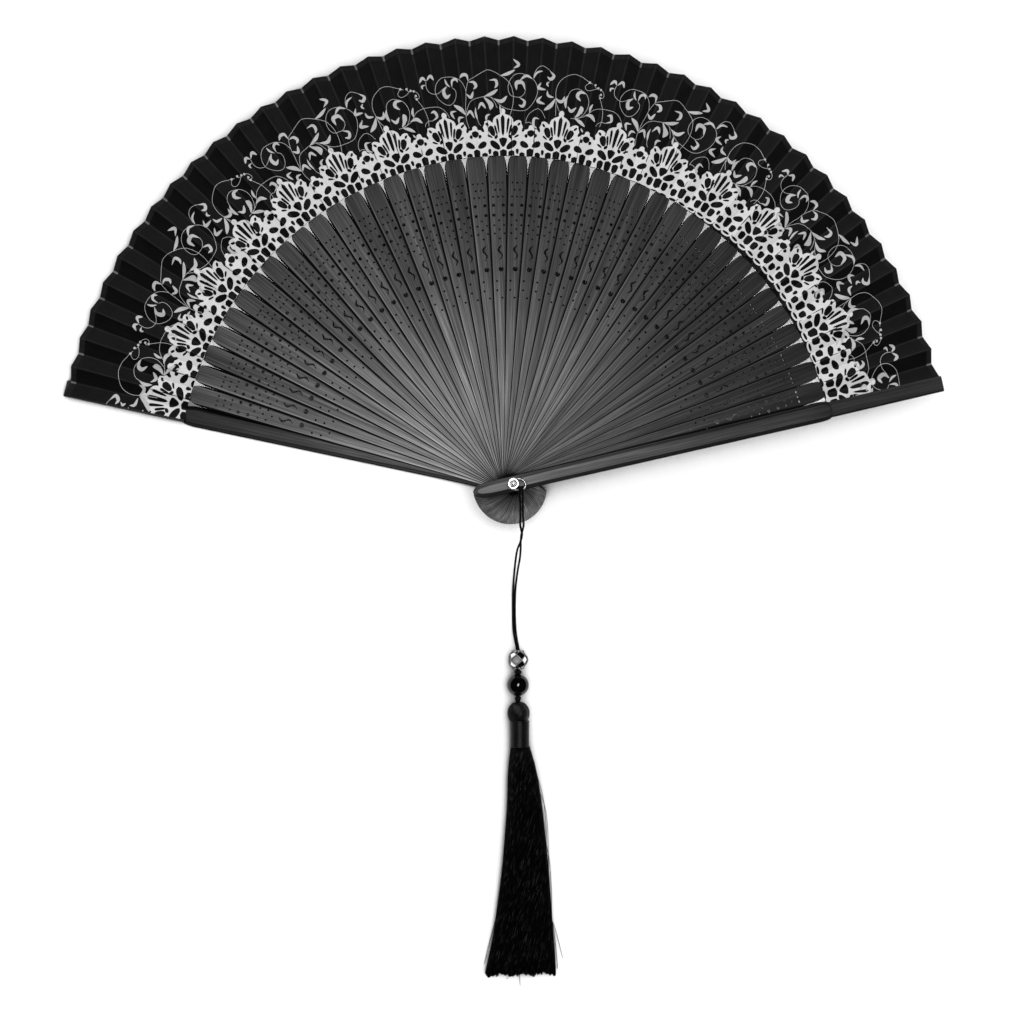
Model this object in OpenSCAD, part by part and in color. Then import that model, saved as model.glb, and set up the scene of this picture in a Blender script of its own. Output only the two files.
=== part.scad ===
// Folding hand fan with a pleated silk leaf and a tassel on a cord.
// The origin is on the rivet's axis, on the surface that the fan lies on.
// +Z is up through the stack of sticks, and the open leaf spreads towards +Y.
// A stick is drawn along +X and turned to its own direction about the rivet.

/* [Fan] */
// Thin ribs between the two guards
rib_count = 40; // [36:1:42]
// Angle between the two guards with the fan open
open_angle = 154.7; // [140:0.1:158]
// Direction of the lower guard, anticlockwise from +X
lower_guard_dir = 167.9; // [160:0.1:172]
// Radius of the sticks' round ends below the rivet
head_r = 17.4; // [16:0.1:19]

/* [Ribs] */
// Thickness of a rib
rib_t = 0.32; // [0.28:0.01:0.36]
// Clear gap between two neighbouring sticks
stick_gap = 0.10; // [0.08:0.01:0.14]
// Width of a rib at the rivet
rib_head_w = 6.4; // [6:0.1:6.8]
// Width of a rib at its shoulders
rib_shoulder_w = 8.8; // [8.4:0.1:9]
// Radius at which a rib's visible blade ends
blade_end_r = 143; // [141:0.5:143.5]
// Thickness of the slip that runs on behind the leaf
slip_t = 0.15; // [0.12:0.01:0.18]
// Radius at which a slip ends
slip_end_r = 191; // [180:1:192]

/* [Guards] */
// Thickness of a guard
guard_t = 3.0; // [2.6:0.1:3.4]
// Height at which a guard's bevelled edges start
guard_side_h = 1.3; // [1:0.1:1.6]
// Width of the bevel along a guard's edges
guard_bevel_w = 1.7; // [1:0.1:2]
// Width of a guard at the rivet
guard_head_w = 6.7; // [6.4:0.1:7]
// Width of a guard at its shoulder
guard_shoulder_w = 8.8; // [8.4:0.1:9]
// Width of a guard along the leaf
guard_tip_w = 6.9; // [6.4:0.1:7.2]
// Radius at which a guard ends
guard_end_r = 195.4; // [194:0.1:197]

/* [Leaf] */
// Inner edge of the leaf
leaf_in_r = 143.6; // [143.5:0.1:144.5]
// Outer edge of the leaf at a ridge fold
leaf_out_r = 195; // [192:0.1:197]
// How much further in the outer edge is at a valley fold
leaf_zigzag = 1.4; // [0.5:0.1:2]
// Thickness of the leaf
leaf_t = 0.1; // [0.08:0.01:0.12]
// Slope of a pleat across the rib behind it
pleat_slope = 16; // [12:0.5:18]

/* [Rivet] */
// Diameter of the rivet's shank
shank_d = 1.9; // [1.7:0.1:2]
// Diameter of the rivet's washers
washer_d = 5.1; // [4.6:0.1:5.2]
// Wire of the tail ring
ring_wire_d = 0.8; // [0.7:0.05:0.9]
// Width of the tail ring across the middle of its wire
ring_w = 4.8; // [4.6:0.1:5]

/* [Tail] */
// Diameter of a cord strand
cord_d = 0.78; // [0.7:0.02:0.8]
// Diameter of the silver bead
silver_bead_d = 9.2; // [8.8:0.1:9.4]
// Diameter of the black bead
black_bead_d = 9.7; // [9.4:0.1:10]
// Bore of the beads
bead_bore_d = 2.2; // [2:0.1:2.4]
// Diameter of the tassel's head
tassel_head_d = 10; // [9.4:0.1:10]
// Diameter of the wrapped neck
tassel_neck_d = 8.6; // [8.2:0.1:9]

/* [Hidden] */
slack = 0.1; // clear gap between parts that slide on each other
rivet_clearance = 0.05; // between the shank and each stick
overlap = 0.01; // how far joined shapes of one solid run into each other
cut = 1; // how far a cutting shape runs past the faces that it opens

// Places along the stack of sticks, level 0 being the lower guard and the last one the upper guard
last_level = rib_count + 1;
stick_step = rib_t + stick_gap;
fold_step = open_angle / last_level;
upper_guard_z = guard_t + stick_gap + rib_count * stick_step;
stack_top = upper_guard_z + guard_t;
function direction(level) = lower_guard_dir - level * fold_step;
function rib_z(level) = guard_t + stick_gap + (level - 1) * stick_step;
function slip_z(level) = rib_z(level) + rib_t / 2;

// Outline of a stick: half its width at a distance x from the rivet
butt_l = 7;
waist_r = 30;
shoulder_l = 6.5;
guard_shoulder_l = 5.5;
shoulder_drop = 1.4;
outline_steps = 10;
function arc_drop(u) = sqrt(max(0, 1 - u * u));
function butt_points(end_r, half_w) = [
    for (i = [0:outline_steps])
        let (u = cos(90 * i / outline_steps))
        [butt_l * (1 - u) - end_r, half_w * arc_drop(u)]
];
function shoulder_points(start, length, half_w, drop) = [
    for (i = [0:outline_steps])
        let (u = sin(90 * i / outline_steps))
        [start + length * u, half_w - drop + drop * arc_drop(u)]
];
function mirrored(points) = concat(points, [
    for (i = [len(points) - 1:-1:0])
        if (points[i][1] > 0) [points[i][0], -points[i][1]]
]);
function rib_outline() = mirrored(concat(
    butt_points(head_r, rib_head_w / 2),
    [[waist_r, rib_head_w / 2]],
    shoulder_points(blade_end_r - shoulder_l, shoulder_l, rib_shoulder_w / 2, shoulder_drop)
));
guard_past_blade = 0.4;
guard_blade_end = blade_end_r + guard_past_blade;
function guard_outline(inset) = mirrored(concat(
    butt_points(head_r - inset, guard_head_w / 2 - inset),
    shoulder_points(guard_blade_end - guard_shoulder_l, guard_shoulder_l,
        guard_shoulder_w / 2 - inset, (guard_shoulder_w - guard_tip_w) / 2)
));

// Slip behind the leaf: a short neck clears the shoulders of the next rib, then it widens and tapers
slip_overlap = 2;
slip_neck_l = 2;
slip_flare_l = 5;
slip_start_r = blade_end_r - slip_overlap;
slip_neck_end = blade_end_r + slip_neck_l;
slip_wide_r = blade_end_r + slip_flare_l;
slip_neck_w = 0.9;
slip_wide_w = 2.6;
slip_tip_w = 1.6;
function slip_outline() = mirrored([
    [slip_start_r, slip_neck_w / 2],
    [slip_neck_end, slip_neck_w / 2],
    [slip_wide_r, slip_wide_w / 2],
    [slip_end_r, slip_tip_w / 2]
]);

// Holes pierced through every rib, from the leaf end down: [radius, distance off the centre line]
pin_hole_d = 0.9;
big_hole_d = 1.45;
pair_y = 2.15;
close_pair_y = 1.15;
low_pair_y = 2.0;
single_rows = [115.0, 111.1, 107.1, 81.3];
pair_rows = [112.9, 109.3];
low_pair_rows = [88.6, 84.6];
triple_rows = [131.4, 125.3];
close_row = 128.3;
big_rows = [121.6, 117.3];
slit_mid_r = 100.9;
slit_l = 6.4;
slit_swing = 0.7;
slit_bend = 215;
slit_w = 1.0;
slit_taper = 0.8;
slit_swell = 0.4;
slit_steps = 16;
heart_r = 93.8;
heart_d = 2.2;
notch_d = 0.85;
notch_y = -0.15;

// Leaf folds: every stick has a pleat centred on it, ridge fold first and valley fold second
leaf_gap = 0.05;
leaf_lift = slip_t / 2 + leaf_gap + leaf_t / 2;
quarter = fold_step / 4;
pleat_rise = tan(pleat_slope);
fold_count = 2 * (last_level + 1);
function fold_side(fold) = fold % 2 == 0 ? 1 : -1;
function fold_level(fold) = floor(fold / 2);
function fold_dir(fold) = direction(fold_level(fold)) + fold_side(fold) * quarter;
function fold_r(fold) = fold_side(fold) > 0 ? leaf_out_r : leaf_out_r - leaf_zigzag;
function fold_z(fold, r) =
    slip_z(fold_level(fold)) + leaf_lift + fold_side(fold) * pleat_rise * r * sin(quarter);
function fold_point(fold, r, side) =
    [r * cos(fold_dir(fold)), r * sin(fold_dir(fold)), fold_z(fold, r) + side * leaf_t / 2];

// Extensions of the guards along the leaf, cut to the slope of the pleat that they carry
tip_half_w = guard_tip_w / 2;
tip_rise = pleat_rise * tip_half_w;
lower_tip_z = slip_z(0) + slip_t / 2;
upper_tip_z = slip_z(last_level) + leaf_lift + leaf_t / 2 + leaf_gap - upper_guard_z;
upper_tip_top = 2.6;
tip_bevel = 0.8;

// Rivet and tail ring, upwards from the resting surface
shank_r = shank_d / 2;
washer_r = washer_d / 2;
recess_depth = 1.0;
rear_head_r = 1.6;
rear_head_t = 0.35;
rear_washer_t = 0.55;
ring_r = ring_w / 2;
wire_r = ring_wire_d / 2;
ring_near = 0.9;
ring_far = 2.9;
ring_dir = -8;
ring_z = stack_top + slack + wire_r;
front_washer_z = ring_z + wire_r + slack;
front_washer_t = 0.7;
washer_rim_r = 0.6;
nub_r = 1.15;
nub_h = 0.75;

// Tail: the beads and the tassel lie on the surface along a line parallel to -Y
bead_x = 4.1;
bead_z = black_bead_d / 2;
silver_bead_y = -76.6;
black_bead_y = -87.7;
middle_knot_y = -82.0;
lower_knot_y = -93.5;
knot_rim_r = 0.85;
middle_knot_r = 1.8;
lower_knot_r = 1.6;
small_lobe_rim_r = 0.55;
small_lobe_r = 1.1;
tassel_top_y = -95.2;
tassel_head_l = 8.1;
crown_centre = 4.8;
crown_l = 5.2;
head_steps = 12;
tassel_x = 4.5;
tassel_head_lift = 0.05;
tassel_z = tassel_head_d / 2 + tassel_head_lift;
neck_l = 11.6;
neck_x = 4.9;
neck_lift = 0.5;
neck_z = tassel_neck_d / 2 + neck_lift;

// Cord routes, by hand: out over the ring, level across the sticks' ends, down to the surface and up to the beads
left_route = [
    [2.7, -1.5, 23.5], [2.7, -2.2, 24.0], [2.7, -2.9, 24.3], [2.7, -3.8, 24.1], [2.75, -5.0, 23.8],
    [2.95, -9.0, 23.7], [3.05, -14.0, 23.7], [2.95, -17.5, 23.8], [3.45, -20.0, 23.4],
    [3.9, -22.0, 22.2], [3.5, -25.0, 19.6], [2.6, -28.0, 16.6], [2.4, -32.0, 11.9],
    [2.4, -37.0, 6.8], [2.4, -42.0, 3.1], [2.4, -47.0, 1.1], [2.4, -53.0, 0.5],
    [2.45, -59.0, 0.5], [2.6, -64.0, 1.3], [3.0, -68.0, 2.9], [3.5, -71.0, 4.3],
    [3.67, -73.2, 4.85], [3.67, -80.0, 4.85], [3.67, -88.0, 4.85], [3.67, -96.4, 4.85]
];
right_route = [
    [3.9, -1.4, 23.5], [3.9, -2.1, 24.0], [3.9, -2.8, 24.3], [3.95, -3.7, 24.1], [4.0, -5.0, 23.8],
    [4.1, -9.0, 23.7], [4.2, -14.0, 23.7], [4.45, -17.5, 23.6], [4.1, -20.0, 22.4],
    [3.7, -22.0, 21.1], [3.7, -25.0, 18.8], [4.0, -28.0, 16.0], [4.2, -32.0, 11.6],
    [3.9, -37.0, 6.6], [3.6, -42.0, 3.0], [3.3, -47.0, 1.1], [3.25, -53.0, 0.5],
    [3.3, -59.0, 0.5], [3.5, -64.0, 1.3], [3.9, -68.0, 2.9], [4.35, -71.0, 4.3],
    [4.53, -73.2, 4.85], [4.53, -80.0, 4.85], [4.53, -88.0, 4.85], [4.53, -96.4, 4.85]
];
cord_sides = 8;

// Skirt of the tassel: [y, centre x, half width, thickness], lying on the surface
skirt_sections = [
    [-114.9, 5.2, 4.1, 8.4],
    [-125.0, 6.1, 6.4, 8.2],
    [-140.0, 7.2, 7.7, 7.4],
    [-168.0, 7.6, 10.3, 6.4],
    [-192.0, 6.9, 12.8, 5.4],
    [-204.0, 6.4, 14.4, 4.8],
    [-214.8, 5.4, 16.0, 4.4]
];
skirt_sides = 20;
skirt_lift = 0.2;

bamboo = "#3d3d3d";
guard_bamboo = "#303030";
silk = "#1f1f1f";
chrome = "#d8d8dc";
thread = "#111111";

function two_digits(n) = n < 10 ? str("0", n) : str(n);
function rib_name(level) = str("rib_", two_digits(level));

// ---- sticks ----

module rivet_hole() {
    translate([0, 0, -cut])
        cylinder(h = stack_top, r = shank_r + rivet_clearance, $fn = 48);
}

module pierced(x, y, d) {
    translate([x, y, -cut])
        cylinder(h = rib_t + 2 * cut, d = d, $fn = 24);
}

// S-shaped slit: a line that swings to both sides, thickest above its middle
function slit_point(i, side) =
    let (
        u = 2 * i / slit_steps - 1,
        w = slit_w / 2 * (1 + slit_swell * u) * sqrt(1 - slit_taper * u * u)
    )
    [slit_mid_r + slit_l / 2 * u, slit_swing * sin(slit_bend * u) + side * w];

module s_slit() {
    outline = concat(
        [for (i = [0:slit_steps]) slit_point(i, 1)],
        [for (i = [slit_steps:-1:0]) slit_point(i, -1)]
    );
    translate([0, 0, -cut])
        linear_extrude(height = rib_t + 2 * cut)
            polygon(outline);
}

// Round hole with a notch that leaves it heart-shaped
module heart_hole() {
    translate([heart_r, 0, -cut])
        linear_extrude(height = rib_t + 2 * cut)
            difference() {
                circle(d = heart_d, $fn = 32);
                translate([heart_d / 2, notch_y])
                    circle(d = notch_d, $fn = 24);
            }
}

module piercing() {
    for (x = triple_rows, y = [-pair_y, 0, pair_y])
        pierced(x, y, pin_hole_d);
    for (y = [-close_pair_y, close_pair_y])
        pierced(close_row, y, pin_hole_d);
    for (x = big_rows, y = [-pair_y, pair_y])
        pierced(x, y, big_hole_d);
    for (x = pair_rows, y = [-pair_y, pair_y])
        pierced(x, y, pin_hole_d);
    for (x = low_pair_rows, y = [-low_pair_y, low_pair_y])
        pierced(x, y, pin_hole_d);
    for (x = single_rows)
        pierced(x, 0, pin_hole_d);
    s_slit();
    heart_hole();
}

module rib(level) {
    color(bamboo)
        rotate([0, 0, direction(level)])
            translate([0, 0, rib_z(level)])
                union() {
                    difference() {
                        linear_extrude(height = rib_t)
                            polygon(rib_outline());
                        rivet_hole();
                        piercing();
                    }
                    translate([0, 0, rib_t / 2])
                        rotate([pleat_slope, 0, 0])
                            translate([0, 0, -slip_t / 2])
                                linear_extrude(height = slip_t)
                                    polygon(slip_outline());
                }
}

// Bevelled bar from the butt to the shoulder
module guard_blade() {
    hull() {
        linear_extrude(height = guard_side_h)
            polygon(guard_outline(0));
        linear_extrude(height = guard_t)
            polygon(guard_outline(guard_bevel_w));
    }
}

// Extension along the leaf, drawn as its cross-section and laid along +X
module guard_tip(section) {
    translate([guard_blade_end - overlap, 0, 0])
        rotate([90, 0, 90])
            linear_extrude(height = guard_end_r - guard_blade_end + overlap)
                polygon(section);
}

module lower_guard() {
    color(guard_bamboo)
        rotate([0, 0, direction(0)])
            difference() {
                union() {
                    guard_blade();
                    guard_tip([
                        [-tip_half_w, 0],
                        [tip_half_w, 0],
                        [tip_half_w, lower_tip_z + tip_rise],
                        [-tip_half_w, lower_tip_z - tip_rise]
                    ]);
                }
                rivet_hole();
                translate([0, 0, -cut])
                    cylinder(h = cut + recess_depth, r = washer_r + slack, $fn = 64);
            }
}

module upper_guard() {
    color(guard_bamboo)
        rotate([0, 0, direction(last_level)])
            translate([0, 0, upper_guard_z])
                difference() {
                    union() {
                        guard_blade();
                        guard_tip([
                            [-tip_half_w, upper_tip_z - tip_rise],
                            [tip_half_w, upper_tip_z + tip_rise],
                            [tip_half_w, upper_tip_top - tip_bevel / 2],
                            [tip_half_w - tip_bevel, upper_tip_top],
                            [-tip_half_w + tip_bevel, upper_tip_top],
                            [-tip_half_w, upper_tip_top - tip_bevel]
                        ]);
                    }
                    rivet_hole();
                }
}

// ---- leaf ----

// Pleated sheet: four points at each fold, joined to the four at the next fold
module leaf() {
    points = [
        for (fold = [0:fold_count - 1])
            each [
                fold_point(fold, leaf_in_r, -1),
                fold_point(fold, fold_r(fold), -1),
                fold_point(fold, fold_r(fold), 1),
                fold_point(fold, leaf_in_r, 1)
            ]
    ];
    sides = [
        for (fold = [0:fold_count - 2], k = [0:3])
            let (a = 4 * fold + k, b = 4 * fold + (k + 1) % 4)
            each [[a, b, a + 4], [b, b + 4, a + 4]]
    ];
    last = 4 * (fold_count - 1);
    color(silk)
        polyhedron(
            points = points,
            faces = concat([[0, 3, 2, 1]], sides, [[last, last + 1, last + 2, last + 3]])
        );
}

// ---- rivet and tail ring ----

module rivet() {
    color(chrome) {
        cylinder(h = rear_head_t, r = rear_head_r, $fn = 48);
        cylinder(h = front_washer_z + front_washer_t, r = shank_r, $fn = 48);
        translate([0, 0, front_washer_z + front_washer_t])
            intersection() {
                translate([-nub_r, -nub_r, 0])
                    cube([2 * nub_r, 2 * nub_r, nub_h]);
                translate([0, 0, nub_h - nub_r])
                    sphere(r = nub_r, $fn = 48);
            }
    }
}

module rear_washer() {
    color(chrome)
        translate([0, 0, rear_head_t])
            difference() {
                cylinder(h = rear_washer_t, r = washer_r, $fn = 64);
                translate([0, 0, -cut])
                    cylinder(h = rear_washer_t + 2 * cut, r = shank_r, $fn = 48);
            }
}

// Flat washer with a raised round rim
module front_washer() {
    color(chrome)
        translate([0, 0, front_washer_z])
            rotate_extrude($fn = 96)
                difference() {
                    union() {
                        translate([shank_r, 0])
                            square([washer_r - washer_rim_r - shank_r, front_washer_t / 2]);
                        translate([washer_r - washer_rim_r, washer_rim_r / 2])
                            circle(r = washer_rim_r, $fn = 40);
                    }
                    translate([0, -cut])
                        square([washer_d, cut]);
                }
}

// Oval wire link around the shank
module tail_ring() {
    color(chrome)
        rotate([0, 0, ring_dir])
            translate([0, 0, ring_z])
                union() {
                    translate([ring_far, 0, 0])
                        rotate([0, 0, -90])
                            rotate_extrude(angle = 180, $fn = 64)
                                translate([ring_r, 0])
                                    circle(r = wire_r, $fn = 32);
                    translate([ring_near, 0, 0])
                        rotate([0, 0, 90])
                            rotate_extrude(angle = 180, $fn = 64)
                                translate([ring_r, 0])
                                    circle(r = wire_r, $fn = 32);
                    for (y = [-ring_r, ring_r])
                        translate([ring_near, y, 0])
                            rotate([0, 90, 0])
                                cylinder(h = ring_far - ring_near, r = wire_r, $fn = 32);
                }
}

// ---- tail ----

function unit(v) = v / norm(v);
function tangent(route, i) =
    unit(route[min(i + 1, len(route) - 1)] - route[max(i - 1, 0)]);
function ring_points(route, i, r, n) =
    let (t = tangent(route, i), side = unit(cross(t, [0, 0, 1])), up = cross(side, t))
    [for (k = [0:n - 1]) route[i] + r * (cos(360 * k / n) * side + sin(360 * k / n) * up)];

// One closed tube swept through the points of a route
module tube(route, d) {
    n = cord_sides;
    last = len(route) - 1;
    points = [for (i = [0:last]) each ring_points(route, i, d / 2, n)];
    walls = [
        for (i = [0:last - 1], k = [0:n - 1])
            let (a = i * n + k, b = i * n + (k + 1) % n)
            each [[a, b, a + n], [b, b + n, a + n]]
    ];
    polyhedron(
        points = points,
        faces = concat([[for (k = [n - 1:-1:0]) k]], walls, [[for (k = [0:n - 1]) last * n + k]])
    );
}

module cord_strand_left() {
    color(thread)
        tube(left_route, cord_d);
}

module cord_strand_right() {
    color(thread)
        tube(right_route, cord_d);
}

// Lays a shape drawn around +Z along the tail, its +Z towards -Y
module lying_at(x, y, z) {
    translate([x, y, z])
        rotate([90, 0, 0])
            children();
}

module bead(y, d) {
    lying_at(bead_x, y, bead_z)
        difference() {
            sphere(d = d, $fn = 96);
            cylinder(h = 2 * d, d = bead_bore_d, center = true, $fn = 48);
        }
}

module silver_bead() {
    color("#c4c4c8")
        bead(silver_bead_y, silver_bead_d);
}

module black_bead() {
    color("#0c0c0e")
        bead(black_bead_y, black_bead_d);
}

// Round lobe of a knot: a disc with a full round rim
module knot_lobe(y, r, rim_r) {
    lying_at(bead_x, y, bead_z)
        rotate_extrude($fn = 64)
            intersection() {
                union() {
                    translate([r - rim_r, 0])
                        circle(r = rim_r, $fn = 40);
                    translate([0, -rim_r])
                        square([r - rim_r, 2 * rim_r]);
                }
                translate([0, -r])
                    square([r, 2 * r]);
            }
}

module middle_knot() {
    color(thread)
        knot_lobe(middle_knot_y, middle_knot_r, knot_rim_r);
}

module lower_knot() {
    color(thread)
        union() {
            knot_lobe(lower_knot_y, lower_knot_r, knot_rim_r);
            knot_lobe(tassel_top_y + small_lobe_rim_r, small_lobe_r, small_lobe_rim_r);
        }
}

// Knob: widest below its middle, narrow where the cord goes in
function knob_point(i) =
    let (s = tassel_head_l * i / head_steps)
    [tassel_head_d / 2 * arc_drop((s - crown_centre) / crown_l), s];

module tassel_head() {
    color(thread)
        lying_at(tassel_x, tassel_top_y, tassel_z)
            rotate_extrude($fn = 96)
                polygon(concat(
                    [[0, 0]],
                    [for (i = [0:head_steps]) knob_point(i)],
                    [[0, tassel_head_l]]
                ));
}

module tassel_neck() {
    color(thread)
        lying_at(neck_x, tassel_top_y - tassel_head_l, neck_z)
            cylinder(h = neck_l, d = tassel_neck_d, $fn = 96);
}

// Skirt: flattened bundle of threads, one oval ring for each section
function skirt_ring(s) = [
    for (k = [0:skirt_sides - 1])
        let (a = 360 * k / skirt_sides)
        [s[1] + s[2] * cos(a), s[0], skirt_lift + s[3] / 2 * (1 + sin(a))]
];

module tassel_skirt() {
    n = skirt_sides;
    last = len(skirt_sections) - 1;
    points = [for (s = skirt_sections) each skirt_ring(s)];
    walls = [
        for (i = [0:last - 1], k = [0:n - 1])
            let (a = i * n + k, b = i * n + (k + 1) % n)
            each [[a, b, a + n], [b, b + n, a + n]]
    ];
    color(thread)
        polyhedron(
            points = points,
            faces = concat([[for (k = [n - 1:-1:0]) k]], walls, [[for (k = [0:n - 1]) last * n + k]])
        );
}

lower_guard();
for (level = [1:rib_count])
    rib(level);
upper_guard();
leaf();
rivet();
rear_washer();
front_washer();
tail_ring();
cord_strand_left();
cord_strand_right();
silver_bead();
middle_knot();
black_bead();
lower_knot();
tassel_head();
tassel_neck();
tassel_skirt();
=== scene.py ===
import math
import random

import bpy
import numpy as np
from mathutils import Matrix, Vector
from mathutils.geometry import delaunay_2d_cdt


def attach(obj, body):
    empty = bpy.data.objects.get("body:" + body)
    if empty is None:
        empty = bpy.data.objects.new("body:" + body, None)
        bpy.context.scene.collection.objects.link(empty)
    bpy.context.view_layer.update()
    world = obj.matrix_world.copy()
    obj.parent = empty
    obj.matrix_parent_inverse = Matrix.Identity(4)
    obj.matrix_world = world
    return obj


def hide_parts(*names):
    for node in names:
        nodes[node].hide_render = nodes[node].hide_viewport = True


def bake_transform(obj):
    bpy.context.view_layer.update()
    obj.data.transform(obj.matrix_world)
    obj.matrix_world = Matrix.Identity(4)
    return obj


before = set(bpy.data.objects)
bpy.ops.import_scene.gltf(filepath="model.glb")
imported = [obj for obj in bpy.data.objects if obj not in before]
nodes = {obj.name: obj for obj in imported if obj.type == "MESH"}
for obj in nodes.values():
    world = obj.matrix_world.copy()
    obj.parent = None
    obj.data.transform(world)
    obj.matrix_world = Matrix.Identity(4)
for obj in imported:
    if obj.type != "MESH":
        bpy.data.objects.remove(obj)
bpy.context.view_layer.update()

MM = 0.001

# ---- the fan's own numbers, as in the CAD source, in mm and degrees ----
RIBS = 40
LAST = RIBS + 1
OPEN_ANGLE = 154.7
LOWER_GUARD_DIR = 167.9
FOLD_STEP = OPEN_ANGLE / LAST
QUARTER = math.radians(FOLD_STEP / 4)
PLEAT_RISE = math.tan(math.radians(16))
STICK_STEP = 0.42
SLIP_Z0 = 3.26 - STICK_STEP
LEAF_IN, LEAF_RIDGE, LEAF_VALLEY = 143.1, 195.0, 193.6
LEAF_LIFT = 0.175


# ---- small helpers ----
def add_object(name, data):
    obj = bpy.data.objects.new(name, data)
    bpy.context.scene.collection.objects.link(obj)
    return obj


def mesh_object(name, points, faces, smooth=True):
    """A mesh piece from points in mm."""
    mesh = bpy.data.meshes.new(name)
    mesh.from_pydata([tuple(c * MM for c in p) for p in points], [], faces)
    mesh.validate()
    if smooth:
        mesh.shade_smooth()
    return add_object(name, mesh)


def ring_faces(rings, sides, first=0, closed=False):
    """Quads from each ring of points to the next, with a cap at both ends unless the last ring meets the first."""
    faces = []
    for i in range(rings if closed else rings - 1):
        here, after = first + i * sides, first + (i + 1) % rings * sides
        faces += [(here + k, here + (k + 1) % sides, after + (k + 1) % sides, after + k) for k in range(sides)]
    if not closed:
        faces.append(tuple(first + k for k in reversed(range(sides))))
        faces.append(tuple(first + (rings - 1) * sides + k for k in range(sides)))
    return faces


def spline(points, per_span):
    """Catmull-Rom curve through points in two or three dimensions, as an array."""
    p = np.asarray(points, float)
    p = np.vstack([2 * p[0] - p[1], p, 2 * p[-1] - p[-2]])
    out = []
    for i in range(1, len(p) - 2):
        a, b, c, d = p[i - 1 : i + 3]
        for t in np.arange(per_span) / per_span:
            out.append(0.5 * (2 * b + (c - a) * t + (2 * a - 5 * b + 4 * c - d) * t**2
                              + (3 * b - 3 * c + d - a) * t**3))
    return np.array(out + [p[-2]])


# ---- camera, at the photograph's viewing angle ----
camera_data = bpy.data.cameras.new("camera")
camera_data.lens = 72.29
camera_data.sensor_width = 36
camera = add_object("camera", camera_data)
camera.location = (-97.9 * MM, -20.7 * MM, 900 * MM)
camera.rotation_euler = (0.0097, -0.1106, 0)
bpy.context.scene.camera = camera

# ---- cord: one cord doubled over the tail ring, so two strands ----
CORD_D = 1.0
PLY_SHARE = 0.29  # a ply's radius as a share of the cord's diameter
LEFT_ROUTE = [
    (2.7, -1.5, 23.5), (2.7, -2.2, 24.0), (2.7, -2.9, 24.3), (2.7, -3.8, 24.1), (2.75, -5.0, 23.8),
    (2.95, -9.0, 23.7), (3.05, -14.0, 23.7), (2.95, -17.5, 23.8), (3.45, -20.0, 23.4),
    (3.9, -22.0, 22.2), (3.5, -25.0, 19.6), (2.6, -28.0, 16.6), (2.4, -32.0, 11.9),
    (2.4, -37.0, 6.8), (2.4, -42.0, 3.1), (2.4, -47.0, 1.1), (2.4, -53.0, 0.5),
    (2.45, -59.0, 0.5), (2.6, -64.0, 1.3), (3.0, -68.0, 2.9), (3.5, -71.0, 4.3),
    (3.67, -73.2, 4.85), (3.67, -80.0, 4.85), (3.67, -88.0, 4.85), (3.67, -96.4, 4.85),
]
RIGHT_ROUTE = [
    (3.9, -1.4, 23.5), (3.9, -2.1, 24.0), (3.9, -2.8, 24.3), (3.95, -3.7, 24.1), (4.0, -5.0, 23.8),
    (4.1, -9.0, 23.7), (4.2, -14.0, 23.7), (4.45, -17.5, 23.6), (4.1, -20.0, 22.4),
    (3.7, -22.0, 21.1), (3.7, -25.0, 18.8), (4.0, -28.0, 16.0), (4.2, -32.0, 11.6),
    (3.9, -37.0, 6.6), (3.6, -42.0, 3.0), (3.3, -47.0, 1.1), (3.25, -53.0, 0.5),
    (3.3, -59.0, 0.5), (3.5, -64.0, 1.3), (3.9, -68.0, 2.9), (4.35, -71.0, 4.3),
    (4.53, -73.2, 4.85), (4.53, -80.0, 4.85), (4.53, -88.0, 4.85), (4.53, -96.4, 4.85),
]


def smooth_path(points, per_span):
    """Curve through points in mm, as a list of vectors."""
    return [Vector(p) for p in spline(points, per_span)]


def path_frames(path, side=(1, 0, 0), closed=False):
    """Two crosswise directions at each point, carried along without twisting."""
    frames, n, side = [], len(path), Vector(side)
    for i in range(n):
        after = path[(i + 1) % n] if closed else path[min(i + 1, n - 1)]
        before = path[i - 1] if closed else path[max(i - 1, 0)]
        t = (after - before).normalized()
        side = (side - side.dot(t) * t).normalized()
        frames.append((side, t.cross(side)))
    return frames


def twisted_cord(name, path, d, plies=3, turns_per_mm=0.5, sides=8):
    """Plies wound round each other along a path, all inside the diameter d."""
    ply_r = d * PLY_SHARE
    wind_r = d / 2 - ply_r
    points, faces = [], []
    for ply in range(plies):
        along = 0.0
        faces += ring_faces(len(path), sides, len(points))
        for i, (p, (u, v)) in enumerate(zip(path, path_frames(path))):
            if i:
                along += (p - path[i - 1]).length
            a = math.tau * (ply / plies + along * turns_per_mm)
            centre = p + wind_r * (math.cos(a) * u + math.sin(a) * v)
            for k in range(sides):
                b = math.tau * k / sides
                points.append(centre + ply_r * (math.cos(b) * u + math.sin(b) * v))
    return mesh_object(name, points, faces)


CORD_STEPS = 24
left_path = smooth_path(LEFT_ROUTE, CORD_STEPS)
right_path = smooth_path(RIGHT_ROUTE, CORD_STEPS)
left_strand = twisted_cord("cord_left", left_path, CORD_D)
right_strand = twisted_cord("cord_right", right_path, CORD_D)
for strand in (left_strand, right_strand):
    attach(strand, "tail")
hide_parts("cord_strand_left")
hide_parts("cord_strand_right")

# ---- leaf: one pleated sheet of silk ----
FOLDS = 2 * (LAST + 1)
PANELS = FOLDS - 1
LEAF_T = 0.06  # thickness of the silk
TUCK = 0.2  # how far a free pleat sags clear of the next rib's slip
SAG_SCALE = 6.75  # brings the highest value of t * t * (1 - t) to 1
S_CELLS = 4  # strips across one pleat
R_CELLS = 12  # rows from the inner to the outer edge
BAND_MM = 5.917  # width of one pleat where the print is


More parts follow.
